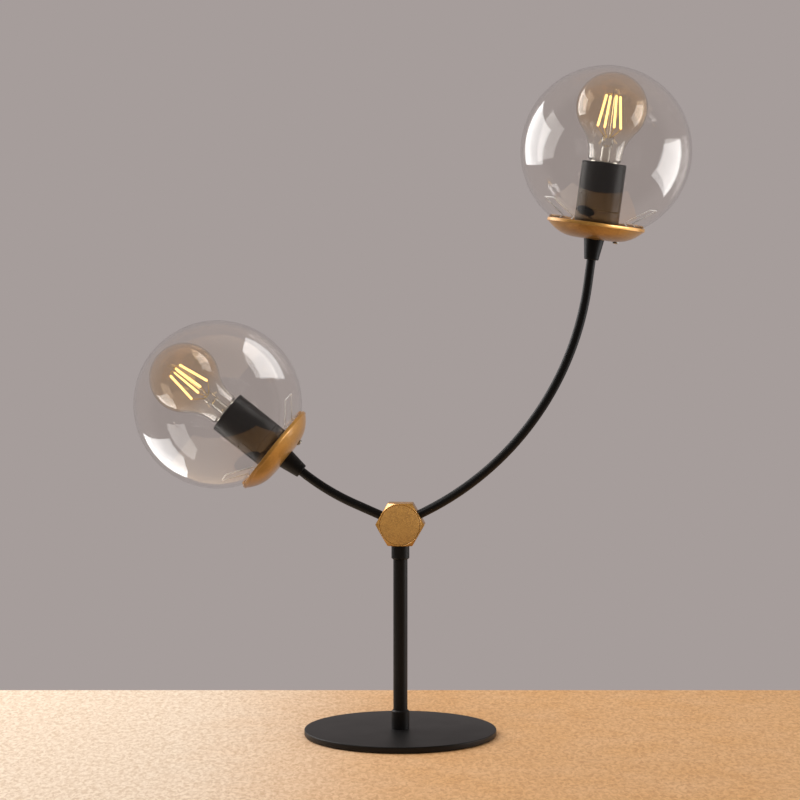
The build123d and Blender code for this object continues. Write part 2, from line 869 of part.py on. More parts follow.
arm_pieces = {"arm_tube": arm_tube, "arm_lead": arm_lead, "arm_lock": arm_lock}

stand_pieces = {
    "base_plate": base_plate,
    "base_pad": base_pad,
    "base_nipple": base_nipple,
    "base_nut": base_nut,
    "lower_collar": lower_collar,
    "cord_bushing": cord_bushing,
    "stem_tube": stem_tube,
    "stem_lead": stem_lead,
    "upper_collar": upper_collar,
    "stem_nut": stem_nut,
    "hub_body": hub_body,
    "hub_cover": hub_cover,
    "wire_block": wire_block,
}

os.makedirs("parts", exist_ok=True)
for name, make in stand_pieces.items():
    export_step(make(), f"parts/{name}.step")
for arm in arms:
    for name, make in arm_pieces.items():
        export_step(make(arm), f"parts/{arm.name}_{name}.step")
for name, make in head_pieces.items():
    piece = make()
    for arm in arms:
        export_step(head_frame(arm) * piece, f"parts/{arm.name}_{name}.step")
for arm in arms:
    place = head_frame(arm).position
    print(f"{arm.name} head: rim centre x {place.X:.1f}, z {place.Z:.1f}")
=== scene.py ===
# %% [markdown]
# # A table lamp with two clear globes
# The real lamp is a round steel base, a thin stem, a six-sided gold hub and two curved arms. Each arm
# carries a spun gold dish, a black lampholder, a lit bulb and a clear glass globe on three spring clips.
# The shapes, sizes and joints come from a CAD model that is already packed. This lesson dresses it: it
# keeps the CAD pieces that look right, makes finer ones where light needs a finer shape, such as glass and
# wire, and gives each finish its own material.

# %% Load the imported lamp
import json
from collections import namedtuple
from math import atan2, cos, degrees, hypot, pi, radians, sin, sqrt, tan

import bmesh
import bpy
from mathutils import Matrix, Vector


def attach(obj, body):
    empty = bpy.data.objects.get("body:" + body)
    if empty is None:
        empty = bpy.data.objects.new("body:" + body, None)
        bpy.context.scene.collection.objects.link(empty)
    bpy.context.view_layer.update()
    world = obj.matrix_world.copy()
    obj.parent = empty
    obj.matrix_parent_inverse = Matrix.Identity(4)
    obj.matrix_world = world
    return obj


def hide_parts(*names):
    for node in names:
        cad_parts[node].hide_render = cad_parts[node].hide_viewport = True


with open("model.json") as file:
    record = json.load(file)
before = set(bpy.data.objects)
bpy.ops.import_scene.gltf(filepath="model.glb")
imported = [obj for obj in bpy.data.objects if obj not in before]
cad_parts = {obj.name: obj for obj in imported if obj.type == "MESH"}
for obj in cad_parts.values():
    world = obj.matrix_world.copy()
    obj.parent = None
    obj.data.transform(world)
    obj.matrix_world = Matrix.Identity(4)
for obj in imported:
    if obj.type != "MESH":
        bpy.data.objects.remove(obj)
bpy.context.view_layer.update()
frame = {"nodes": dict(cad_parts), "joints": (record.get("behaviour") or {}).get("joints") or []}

# %% [markdown]
# ## Millimetres, colours and nodes
# Lamps are drawn in millimetres and Blender works in metres, so one value turns the first into the second.
# A paint chart gives sRGB colours, and shaders need linear ones, so one function turns them. Materials are
# node trees, and one small function adds a node, sets it up and links it.

# %% Three small helpers
mm = 0.001


def linear(colour):
    """Linear RGBA of an sRGB hex colour."""
    shares = [int(colour[first:first + 2], 16) / 255 for first in (1, 3, 5)]
    return [s / 12.92 if s <= 0.04045 else ((s + 0.055) / 1.055) ** 2.4 for s in shares] + [1.0]


def add(tree, kind, inputs=None, **settings):
    """Adds a node. Each input is a value, or the socket that it is linked to."""
    made = tree.nodes.new(kind)
    for name, value in settings.items():
        setattr(made, name, value)
    for name, value in (inputs or {}).items():
        if isinstance(value, bpy.types.NodeSocket):
            tree.links.new(value, made.inputs[name])
        else:
            made.inputs[name].default_value = value
    return made


def new_finish(name):
    """An empty material and its node tree."""
    material = bpy.data.materials.new(name)
    material.use_nodes = True
    material.node_tree.nodes.clear()
    return material, material.node_tree


print("mid grey is", [round(share, 3) for share in linear("#808080")])

# %% [markdown]
# ## The camera
# The photograph was taken from a little above the hub with a long lens, a few degrees to the right of
# straight on. The lens and the distance were found from the size of the globes, the oval of the base and
# the height of the horizon. A camera needs only its place, the lens and the two angles it is turned by.

# %% Place the camera
camera_distance = 2287 * mm
camera_height = 451 * mm
camera_side_angle = 4.0
camera_turn = 4.009
camera_down_angle = 3.778
lens_length = 116.4
lens_sensor = 36.0
lens_near = 0.05

lens = bpy.data.cameras.new("camera")
lens.lens = lens_length
lens.sensor_width = lens_sensor
lens.clip_start = lens_near
camera = bpy.data.objects.new("camera", lens)
side = radians(camera_side_angle)
camera.location = (camera_distance * sin(side), -camera_distance * cos(side), camera_height)
camera.rotation_euler = (radians(90 - camera_down_angle), 0, radians(camera_turn))
bpy.context.collection.objects.link(camera)
bpy.context.scene.camera = camera
bpy.context.scene.view_settings.view_transform = "Standard"
print("camera at", [round(value, 3) for value in camera.location])

# %% [markdown]
# ## The studio
# The lamp stands near the back edge of a tan board, in front of a plain warm grey wall. The wall is the
# world's colour for rays that see it straight. A mirror image sees the wall only where it looks to the
# back: in front of the lamp the studio is dark, which keeps black paint black and glass clear. A ray that
# has come through glass finds more of the wall than of that dark, so that the globes stay clear when they
# are seen from behind. All other rays find a plain soft light, and the wall's grey doesn't dull the lamp.
#
# Glass shows little but what it mirrors. A pair of softboxes, one on the left and one on the right, draws
# the bright patches at the edge of each globe. In the photograph the short head's patches lie turned with
# the head, so its globe and bulb have a pair of their own, hung close to them, and the first pair lights all
# the rest. The corners of the patches in the photograph give the places, the sizes and the turns of the
# pairs. The fifth softbox, high in front of the lamp on its left, lights all but the glass.
#
# Gold shows its form by narrow highlights, so the other five light only gold. Two draw the bright line along
# the dishes' rims. On the hub, one lights the bevels from the upper left, one draws the crescent on the right
# of the face, and one is a wide faint card that lifts the face itself.

# %% The wall, the dark studio and the soft light all round
wall_colour = "#A69D9B"
studio_colour = "#332F2D"
studio_end = -0.2
wall_start = 0.3
room_light_colour = "#FFFAF4"
room_light_level = 0.62
see_through = 0.6

world = bpy.data.worlds.new("studio")
bpy.context.scene.world = world
world.use_nodes = True
tree = world.node_tree
tree.nodes.clear()
ray = add(tree, "ShaderNodeLightPath").outputs
towards = add(tree, "ShaderNodeTexCoord").outputs["Generated"]
backwards = add(tree, "ShaderNodeSeparateXYZ", {"Vector": towards}).outputs[1]
to_wall = add(tree, "ShaderNodeMapRange", {
    "Value": backwards, "From Min": studio_end, "From Max": wall_start,
}, interpolation_type="SMOOTHSTEP")
mirrored = add(tree, "ShaderNodeMix", {
    "Factor": to_wall.outputs[0], 6: linear(studio_colour), 7: linear(wall_colour),
}, data_type="RGBA")
mirrors = add(tree, "ShaderNodeMath", {
    0: ray["Is Transmission Ray"], 1: -see_through, 2: ray["Is Glossy Ray"],
}, operation="MULTIPLY_ADD", use_clamp=True)
seen = add(tree, "ShaderNodeMix", {
    "Factor": mirrors.outputs[0], 6: linear(wall_colour), 7: mirrored.outputs[2],
}, data_type="RGBA")
straight = add(tree, "ShaderNodeMath", {
    0: ray["Is Camera Ray"], 1: ray["Is Glossy Ray"],
}, operation="MAXIMUM")
shown = add(tree, "ShaderNodeMath", {
    0: straight.outputs[0], 1: ray["Is Transmission Ray"],
}, operation="MAXIMUM")
wall = add(tree, "ShaderNodeBackground", {"Color": seen.outputs[2], "Strength": 1.0})
room = add(tree, "ShaderNodeBackground", {"Color": linear(room_light_colour), "Strength": room_light_level})
either = add(tree, "ShaderNodeMixShader", {0: shown.outputs[0], 1: room.outputs[0], 2: wall.outputs[0]})
add(tree, "ShaderNodeOutputWorld", {"Surface": either.outputs[0]})
print("wall", wall_colour, "dark studio", studio_colour, "room light", room_light_level)

# %% The softboxes
# A softbox hangs at an offset from a middle. Offset, width and height are in mm and the roll is in degrees.
Softbox = namedtuple("Softbox", "name middle offset facing roll width height brightness")

hub_middle = Vector((0, 0, 190)) * mm
long_globe_middle = Vector((181, 0, 519)) * mm
short_globe_middle = Vector((-163, 0, 295)) * mm
softboxes = [Softbox(*measures) for measures in (
    ("left_softbox", long_globe_middle, (-1090, 480, 150), (0.81, -0.32, -0.48), -10, 1060, 850, 3.2),
    ("right_softbox", long_globe_middle, (1180, 85, -200), (-0.77, -0.33, 0.55), 2, 905, 945, 2.6),
    ("short_left_softbox", short_globe_middle, (-182, 27, -211), (0.9, -0.28, 0.32), 66, 200, 230, 3.2),
    ("short_right_softbox", short_globe_middle, (178, 20, 215), (-0.87, -0.46, -0.18), 65, 240, 184, 2.6),
    ("front_softbox", hub_middle, (-850, -650, 1610), (0.44, 0.34, -0.83), 0, 800, 800, 5.0),
    ("left_rim_softbox", long_globe_middle, (-1090, 480, 150), (0.81, -0.32, -0.48), -10, 1060, 500, 24.0),
    ("right_rim_softbox", long_globe_middle, (1000, -640, 120), (-0.83, 0.53, -0.15), 0, 1100, 400, 26.0),
    ("hub_softbox", hub_middle, (-970, -1010, 1250), (0.52, 0.54, -0.66), 0, 900, 900, 18.0),
    ("hub_side_softbox", hub_middle, (650, -985, 240), (-0.54, 0.82, -0.2), 0, 400, 500, 9.0),
    ("hub_card", hub_middle, (-120, -900, -120), (0.13, 0.98, 0.13), 0, 900, 900, 0.35),
)]


def hang(softbox):
    """A rectangular area light. Its power is its brightness times its area times pi."""
    light = bpy.data.lights.new(softbox.name, "AREA")
    light.shape = "RECTANGLE"
    light.size = softbox.width * mm
    light.size_y = softbox.height * mm
    light.energy = softbox.brightness * light.size * light.size_y * pi
    lit = bpy.data.objects.new(softbox.name, light)
    facing = Vector(softbox.facing).to_track_quat("-Z", "Y").to_matrix().to_4x4()
    roll = Matrix.Rotation(radians(softbox.roll), 4, "Z")
    lit.matrix_world = Matrix.Translation(softbox.middle + Vector(softbox.offset) * mm) @ facing @ roll
    lit.visible_camera = False
    bpy.context.collection.objects.link(lit)
    print(softbox.name, round(light.energy, 2), "W")
    return lit


hung = {softbox.name: hang(softbox) for softbox in softboxes}

# %% [markdown]
# ## The board that the lamp stands on
# It is a plain tan board with short fibres in it, laid square to the camera, 84 cm wide and 58 cm deep. It
# ends behind the lamp, where the wall begins, and just in front of the picture, which shows in the globes:
# their lower front mirrors it. Its left side is painted paler, as painted light where the softboxes fall
# on it. Eight corners are enough for a board, as all that the eye finds in it is the work of its material.

# %% The tan board
board_colour = "#E2AE74"
# Painted light: this paler colour is painted over the board's left, where the softboxes light it, and it is
# also the tone of the pale blotches.
board_blotch_and_painted_light_colour = "#F0DBC4"
board_fibre_shade = "#E1D6CA"
board_fibre = 3.6
board_fibre_stretch = 0.45
board_fibre_depth = 0.25
board_fibre_relief = 0.6
board_fibre_limits = (0.38, 0.66)
board_blotch = 60.0
board_blotch_limits = (0.3, 0.7)
board_blotch_share = 0.12
board_roughness = 0.7
# Painted light: from here towards the left the board's colour turns paler, where the light falls on it.
board_painted_light_start = 45 * mm
board_painted_light_end = -240 * mm
board_back = 225 * mm
board_front = -355 * mm
board_left = -400 * mm
board_right = 440 * mm
board_thickness = 18 * mm
board_faces = [(0, 2, 3, 1), (4, 5, 7, 6), (0, 1, 5, 4), (2, 6, 7, 3), (0, 4, 6, 2), (1, 3, 7, 5)]


def tan_board():
    """Kraft-faced board: matt tan with short fibres, and painted light that makes its left side paler."""
    material, tree = new_finish("tan_kraft_board")
    where = add(tree, "ShaderNodeTexCoord").outputs["Object"]
    drawn = add(tree, "ShaderNodeMapping", {"Vector": where, "Scale": (1.0, board_fibre_stretch, 1.0)})
    fibre = add(tree, "ShaderNodeTexNoise", {
        "Vector": drawn.outputs[0], "Scale": 1 / (board_fibre * mm), "Detail": 2.5, "Roughness": 0.6,
        "Distortion": 0.8,
    })
    blotch = add(tree, "ShaderNodeTexNoise", {
        "Vector": where, "Scale": 1 / (board_blotch * mm), "Detail": 3.0,
    })
    across = add(tree, "ShaderNodeSeparateXYZ", {"Vector": where})
    # Painted light: a paler colour over the left of the board, where the softboxes light it, plus the pale
    # blotches.
    painted_light = add(tree, "ShaderNodeMapRange", {
        "Value": across.outputs[0], "From Min": board_painted_light_start, "From Max": board_painted_light_end,
    }, interpolation_type="SMOOTHSTEP")
    uneven = add(tree, "ShaderNodeMapRange", {
        "Value": blotch.outputs[0], "From Min": board_blotch_limits[0], "From Max": board_blotch_limits[1],
        "To Min": 0.0, "To Max": board_blotch_share,
    })
    blotch_and_painted_light = add(tree, "ShaderNodeMath", {
        0: painted_light.outputs[0], 1: uneven.outputs[0],
    }, operation="ADD", use_clamp=True)
    ground = add(tree, "ShaderNodeMix", {
        "Factor": blotch_and_painted_light.outputs[0], 6: linear(board_colour), 7: linear(board_blotch_and_painted_light_colour),
    }, data_type="RGBA")
    share = add(tree, "ShaderNodeMapRange", {
        "Value": fibre.outputs[0], "From Min": board_fibre_limits[0], "From Max": board_fibre_limits[1],
    })
    colour = add(tree, "ShaderNodeMix", {
        "Factor": share.outputs[0], 6: ground.outputs[2], 7: linear(board_fibre_shade),
    }, data_type="RGBA", blend_type="MULTIPLY")
    bump = add(tree, "ShaderNodeBump", {
        "Height": fibre.outputs[0], "Distance": board_fibre_depth * mm, "Strength": board_fibre_relief,
    })
    surface = add(tree, "ShaderNodeBsdfPrincipled", {
        "Base Color": colour.outputs[2], "Roughness": board_roughness, "Normal": bump.outputs[0],
    })
    add(tree, "ShaderNodeOutputMaterial", {"Surface": surface.outputs[0]})
    return material


mesh = bpy.data.meshes.new("board")
corners = [(x, y, z) for z in (-board_thickness, 0) for y in (board_front, board_back)
           for x in (board_left, board_right)]
mesh.from_pydata(corners, [], board_faces)
mesh.materials.append(tan_board())
board = bpy.data.objects.new("board", mesh)
board.rotation_euler.z = radians(camera_turn)
bpy.context.collection.objects.link(board)
print("board", round((board_right - board_left) / mm), "by", round((board_back - board_front) / mm), "mm")

# %% [markdown]
# ## Finish: black powder coat
# The base, stem, collars, arms and cones are steel with a black powder coat, sprayed on dry and baked. It
# cures to a satin skin with a fine orange peel, so a highlight on it is broad and a little broken. The peel
# is about 0.8 mm on the real lamp, and is drawn at 1.3 mm so that it shows.

# %% Black powder coat
powder_black = "#0C0A09"
powder_worn = "#151312"
powder_peel = 1.3
powder_depth = 0.02
powder_cloud = 40.0
powder_roughness = (0.4, 0.5)
powder_gloss = 0.25


def black_powder_coat():
    """Satin black with an orange peel. Wide clouds change its shine a little."""
    material, tree = new_finish("black_powder_coat")
    where = add(tree, "ShaderNodeTexCoord").outputs["Object"]
    peel = add(tree, "ShaderNodeTexNoise", {"Vector": where, "Scale": 1 / (powder_peel * mm), "Detail": 3.0})
    cloud = add(tree, "ShaderNodeTexNoise", {
        "Vector": where, "Scale": 1 / (powder_cloud * mm), "Detail": 2.0,
    })
    tone = add(tree, "ShaderNodeMix", {
        "Factor": peel.outputs[0], 6: linear(powder_black), 7: linear(powder_worn),
    }, data_type="RGBA")
    rough = add(tree, "ShaderNodeMapRange", {
        "Value": cloud.outputs[0], "To Min": powder_roughness[0], "To Max": powder_roughness[1],
    })
    bump = add(tree, "ShaderNodeBump", {"Height": peel.outputs[0], "Distance": powder_depth * mm})
    surface = add(tree, "ShaderNodeBsdfPrincipled", {
        "Base Color": tone.outputs[2], "Roughness": rough.outputs[0], "Normal": bump.outputs[0],
        "Specular IOR Level": powder_gloss,
    })
    add(tree, "ShaderNodeOutputMaterial", {"Surface": surface.outputs[0]})
    return material


# %% [markdown]
# ## Finish: antique gold lacquer
# The hub, the dishes and the plates in them are steel with a metallic lacquer: brass-coloured flakes in a
# clear coat, rubbed down to a satin. Part of it mirrors like a soft metal and part is plain pigment, so it
# keeps its colour where nothing bright is mirrored. The flakes break the highlight into a fine sparkle, and
# the thin coat over them adds a sharper, paler one. Flakes of 0.1 mm are drawn as grains of 0.6 mm.

# %% Antique gold lacquer
gold_light = "#A67838"
gold_dark = "#593812"
gold_flake = 0.6
gold_cloud = 14.0
gold_depth = 0.02
gold_relief = 0.5
gold_metal = 0.6
gold_roughness = (0.28, 0.42)
gold_coat = 0.35
gold_coat_roughness = 0.12


def antique_gold_lacquer():
    """Brass flakes, each with a tone, a shine and a height of its own, under a thin clear coat."""
    material, tree = new_finish("antique_gold_lacquer")
    where = add(tree, "ShaderNodeTexCoord").outputs["Object"]
    flake = add(tree, "ShaderNodeTexVoronoi", {"Vector": where, "Scale": 1 / (gold_flake * mm)})
    cloud = add(tree, "ShaderNodeTexNoise", {"Vector": where, "Scale": 1 / (gold_cloud * mm), "Detail": 4.0})
    shimmer = add(tree, "ShaderNodeSeparateColor", {"Color": flake.outputs["Color"]})
    share = add(tree, "ShaderNodeMath", {0: shimmer.outputs[0], 1: cloud.outputs[0]}, operation="MULTIPLY")
    tone = add(tree, "ShaderNodeMix", {
        "Factor": share.outputs[0], 6: linear(gold_light), 7: linear(gold_dark),
    }, data_type="RGBA")
    rough = add(tree, "ShaderNodeMapRange", {
        "Value": shimmer.outputs[1], "To Min": gold_roughness[0], "To Max": gold_roughness[1],
    })
    bump = add(tree, "ShaderNodeBump", {
        "Height": shimmer.outputs[2], "Distance": gold_depth * mm, "Strength": gold_relief,
    })
    surface = add(tree, "ShaderNodeBsdfPrincipled", {
        "Base Color": tone.outputs[2], "Metallic": gold_metal, "Roughness": rough.outputs[0],
        "Normal": bump.outputs[0], "Coat Weight": gold_coat, "Coat Roughness": gold_coat_roughness,
    })
    add(tree, "ShaderNodeOutputMaterial", {"Surface": surface.outputs[0]})
    return material


# %% [markdown]
# ## Finish: moulded plastics, foam and rubbery sheath
# The lampholder is a black moulded thermoplastic with a fine spark-eroded texture, which takes the shine
# off it. The wire block, the leads' sheath and the foot pad are other plain mouldings. They differ only in
# colour, shine and grain, so one function makes them all.

# %% Moulded plastics
moulded_spread = (-0.05, 0.07)


def moulded(name, colour, shade, roughness, pit, depth, gloss=0.5):
    """A moulded polymer with even pits of a size and a depth in mm."""
    material, tree = new_finish(name)
    where = add(tree, "ShaderNodeTexCoord").outputs["Object"]
    pits = add(tree, "ShaderNodeTexNoise", {"Vector": where, "Scale": 1 / (pit * mm), "Detail": 4.0})
    tone = add(tree, "ShaderNodeMix", {
        "Factor": pits.outputs[0], 6: linear(colour), 7: linear(shade),
    }, data_type="RGBA")
    rough = add(tree, "ShaderNodeMapRange", {
        "Value": pits.outputs[0],
        "To Min": roughness + moulded_spread[0], "To Max": roughness + moulded_spread[1],
    })
    bump = add(tree, "ShaderNodeBump", {"Height": pits.outputs[0], "Distance": depth * mm})
    surface = add(tree, "ShaderNodeBsdfPrincipled", {
        "Base Color": tone.outputs[2], "Roughness": rough.outputs[0], "Normal": bump.outputs[0],
        "Specular IOR Level": gloss,
    })
    add(tree, "ShaderNodeOutputMaterial", {"Surface": surface.outputs[0]})
    return material


# %% [markdown]
# ## Finish: plated and plain metals
# The springs are bright nickel-plated wire. Nuts and nipples are zinc-plated steel, the contacts are brass
# sheet, the bulb's cap is nickel-plated and its tip is solder. Metals show by what they mirror, so each
# has its colour, an even roughness and faint drawing marks of its own size. The springs' wire is so thin
# that it would only mirror the dark studio, so most of its shine is a painted reflection: a plain white
# colour that stands in for what the plating mirrors.

# %% Plated and plain metals
plated_spread = (-0.04, 0.1)


def plated(name, colour, shade, roughness, mark, metal=1.0):
    """A metal with faint marks of a size in mm."""
    material, tree = new_finish(name)
    where = add(tree, "ShaderNodeTexCoord").outputs["Object"]
    marks = add(tree, "ShaderNodeTexNoise", {"Vector": where, "Scale": 1 / (mark * mm), "Detail": 3.0})
    tone = add(tree, "ShaderNodeMix", {
        "Factor": marks.outputs[0], 6: linear(colour), 7: linear(shade),
    }, data_type="RGBA")
    rough = add(tree, "ShaderNodeMapRange", {
        "Value": marks.outputs[0],
        "To Min": roughness + plated_spread[0], "To Max": roughness + plated_spread[1],
    })
    surface = add(tree, "ShaderNodeBsdfPrincipled", {
        "Base Color": tone.outputs[2], "Metallic": metal, "Roughness": rough.outputs[0],
    })
    add(tree, "ShaderNodeOutputMaterial", {"Surface": surface.outputs[0]})
    return material


# %% [markdown]
# ## Finish: clear and tinted glass
# The globes are blown soda-lime glass, clear, with a faint unevenness that bends the softboxes' edges. The
# bulb is thinner glass with an amber tint that fades out towards its neck, and the stem inside it is clear.
# Glass casts almost no shadow, so for shadow rays the material lets light straight through.

# %% Glass
glass_ior = 1.5
glass_shadow = "#F4F2F0"
globe_wave = 60.0
globe_wave_depth = 0.05
globe_tint = "#F8F6F4"
bulb_wave = 20.0
bulb_wave_depth = 0.02
stem_wave = 6.0
stem_wave_depth = 0.05
stem_tint = "#FDFCF8"
amber_tint = "#FCF1E2"
neck_tint = "#FFFDF9"
amber_start = 0.08
amber_end = 0.2


def blown_glass(name, base, wave, depth):
    """Clear glass over a colour, which is a fixed value or is made in the tree by a function."""
    material, tree = new_finish(name)
    where = add(tree, "ShaderNodeTexCoord").outputs["Object"]
    unevenness = add(tree, "ShaderNodeTexNoise", {"Vector": where, "Scale": 1 / (wave * mm), "Detail": 1.0})
    bump = add(tree, "ShaderNodeBump", {"Height": unevenness.outputs[0], "Distance": depth * mm})
    glass = add(tree, "ShaderNodeBsdfPrincipled", {
        "Base Color": base(tree) if callable(base) else linear(base), "Roughness": 0.0, "IOR": glass_ior,
        "Transmission Weight": 1.0, "Normal": bump.outputs[0],
    })
    clear = add(tree, "ShaderNodeBsdfTransparent", {"Color": linear(glass_shadow)})
    shadow = add(tree, "ShaderNodeLightPath").outputs["Is Shadow Ray"]
    either = add(tree, "ShaderNodeMixShader", {0: shadow, 1: glass.outputs[0], 2: clear.outputs[0]})
    add(tree, "ShaderNodeOutputMaterial", {"Surface": either.outputs[0]})
    return material


def amber_fade(tree):
    """Amber on the ball, clear at the neck. The map's height runs up the outside and down the inside."""
    place = add(tree, "ShaderNodeUVMap", uv_map="turning")
    height = add(tree, "ShaderNodeSeparateXYZ", {"Vector": place.outputs[0]})
    folded = add(tree, "ShaderNodeMath", {0: height.outputs[1], 1: 0.5}, operation="PINGPONG")
    share = add(tree, "ShaderNodeMapRange", {
        "Value": folded.outputs[0], "From Min": amber_start, "From Max": amber_end,
    }, interpolation_type="SMOOTHSTEP")
    mixed = add(tree, "ShaderNodeMix", {
        "Factor": share.outputs[0], 6: linear(neck_tint), 7: linear(amber_tint),
    }, data_type="RGBA")
    return mixed.outputs[2]


# %% [markdown]
# ## Finish: lit filaments
# Each bright stick is a row of tiny diodes on a glass strip, dipped in a yellow phosphor. Lit, it glows
# a pale yellow, so the material gives off light and has the phosphor's grain.

# %% Lit phosphor
phosphor_glow = "#FFEDB4"
phosphor_grain_glow = "#FFD070"
phosphor_unlit = "#F2C14E"
phosphor_grain = 1.2
phosphor_level = 2.3
phosphor_roughness = 0.6


def lit_phosphor():
    """Yellow phosphor that gives off light, a little deeper in its grains."""
    material, tree = new_finish("lit_phosphor")
    where = add(tree, "ShaderNodeTexCoord").outputs["Object"]
    grain = add(tree, "ShaderNodeTexNoise", {
        "Vector": where, "Scale": 1 / (phosphor_grain * mm), "Detail": 2.0,
    })
    glow = add(tree, "ShaderNodeMix", {
        "Factor": grain.outputs[0], 6: linear(phosphor_glow), 7: linear(phosphor_grain_glow),
    }, data_type="RGBA")
    surface = add(tree, "ShaderNodeBsdfPrincipled", {
        "Base Color": linear(phosphor_unlit), "Roughness": phosphor_roughness,
        "Emission Color": glow.outputs[2], "Emission Strength": phosphor_level,
    })
    add(tree, "ShaderNodeOutputMaterial", {"Surface": surface.outputs[0]})
    return material


# %% [markdown]
# ## A finish for every slot
# The CAD pieces come with named slots. The finishes are kept under the same names, so one loop fills them
# all, and a finer piece made further on takes its finish by the name of its slot.

# %% Put a finish in every slot of the CAD pieces
finishes = {
    "black_steel": black_powder_coat(),
    "gold_paint": antique_gold_lacquer(),
    "black_plastic": moulded("black_thermoplastic", "#0B0A09", "#131110", 0.46, 0.9, 0.012, 0.3),
    "white_plastic": moulded("white_nylon", "#E6E3DC", "#D8D4CA", 0.45, 1.0, 0.01),
    "lead_sheath": moulded("lead_sheath", "#22201F", "#2A2726", 0.5, 1.5, 0.02),
    "foot_foam": moulded("black_foam", "#1C1B1B", "#2A2828", 0.9, 0.8, 0.12),
    "cap_glass": moulded("black_glass", "#0C0C10", "#111116", 0.12, 2.0, 0.005),
    "zinc_steel": plated("zinc_plated_steel", "#BDBBB3", "#A3A198", 0.35, 1.2),
    # Painted reflection: the springs' white colour stands in for the bright things that their plating
    # mirrors.
    "spring_wire": plated("bright_nickel_wire", "#FFFFFF", "#F6F5F3", 0.22, 2.0, 0.15),
    "brass_sheet": plated("pressed_brass", "#D9B36A", "#C59C50", 0.28, 1.5),
    "cap_metal": plated("nickel_plated_cap", "#CFCBC2", "#BAB5AA", 0.22, 1.5),
    "support_wire": plated("gilt_wire", "#F2D68C", "#DDB866", 0.3, 1.0),
    "solder": plated("solder", "#B8B6B0", "#A09D95", 0.4, 0.8),
    "globe_glass": blown_glass("clear_globe_glass", globe_tint, globe_wave, globe_wave_depth),
    "amber_glass": blown_glass("amber_bulb_glass", amber_fade, bulb_wave, bulb_wave_depth),
    "stem_glass": blown_glass("stem_glass", stem_tint, stem_wave, stem_wave_depth),
    "lit_stick": lit_phosphor(),
}
for node in frame["nodes"].values():
    for place in node.material_slots:
        place.material = finishes[place.name.split(".")[0]]
print("finishes:", len(finishes))

# %% [markdown]
# ## Turning a piece about its head's axis
# Most of the lamp is spun, blown or turned, so it is a profile carried round an axis. Each head has an axis
# of its own, which the CAD gives as the axis of the bulb's joint. A profile is drawn once in millimetres,
# as (radius, height) points above the rim of the dish, and placed in both heads. A Screw modifier could turn
# it. Here one function puts a skin over rings of points, because that also makes the hub, which is a hexagon
# at its sides, and the bulb's stem, which is pinched flat.

# %% Heads and measures
Head = namedtuple("Head", "name place")
Span = namedtuple("Span", "low high radius")
joints = {joint["name"]: joint for joint in frame["joints"]}


def head_of(name):
    """A head's own frame, from its millimetres to the lamp's metres: Z along the bulb, Y to the back."""
    turn = joints[f"{name}_bulb_turn"]
    along = Vector(turn["axis"]).normalized()
    back = Vector((0, 1, 0))
    turned_axes = Matrix((back.cross(along), back, along)).transposed().to_4x4()
    return Head(name, Matrix.Translation(turn["pos_m"]) @ turned_axes @ Matrix.Scale(mm, 4))


def span(node, place):
    """Lowest and highest point of a CAD node along an axis, and its largest radius, in mm."""
    to_local = place.inverted()
    points = [to_local @ vertex.co for vertex in frame["nodes"][node].data.vertices]
    heights = [point.z for point in points]
    return Span(min(heights), max(heights), max(hypot(point.x, point.y) for point in points))


heads = [head_of("long"), head_of("short")]
stand = Matrix.Scale(mm, 4)
globe = span("long_globe_glass", heads[0].place)
bulb = span("long_bulb_glass", heads[0].place)
dish = span("long_dish", heads[0].place)
base = span("base_plate", stand)
print("globe", [round(value, 2) for value in globe], "bulb", [round(value, 2) for value in bulb])

# %% Profiles and turned meshes
sharp_angle = 40


def arc(centre, radius, first, last, steps):
    """Points along an arc, from one angle to another. Angle 0 points out and 90 points up."""
    angles = [radians(first + (last - first) * step / steps) for step in range(steps + 1)]
    return [(centre[0] + radius * cos(a), centre[1] + radius * sin(a)) for a in angles]


def rounded(before, corner, after, radius, steps):
    """Arc that rounds off the corner between two other points."""
    to_before = (before - corner).normalized()
    to_after = (after - corner).normalized()
    half = to_before.angle(to_after) / 2
    middle = corner + (to_before + to_after).normalized() * radius / sin(half)
    start = (corner + to_before * radius / tan(half) - middle).normalized()
    end = (corner + to_after * radius / tan(half) - middle).normalized()
    return [middle + start.slerp(end, step / steps) * radius for step in range(steps + 1)]


def eased(corners, steps=5):
    """Profile through (radius, height, rounding) corners, each turned into an arc of its rounding."""
    points = []
    for index, (x, y, rounding) in enumerate(corners):
        if not rounding:
            points.append((x, y))
            continue
        before, after = (Vector(corners[beside % len(corners)][:2]) for beside in (index - 1, index + 1))
        points += [tuple(point) for point in rounded(before, Vector((x, y)), after, rounding, steps)]
    return points


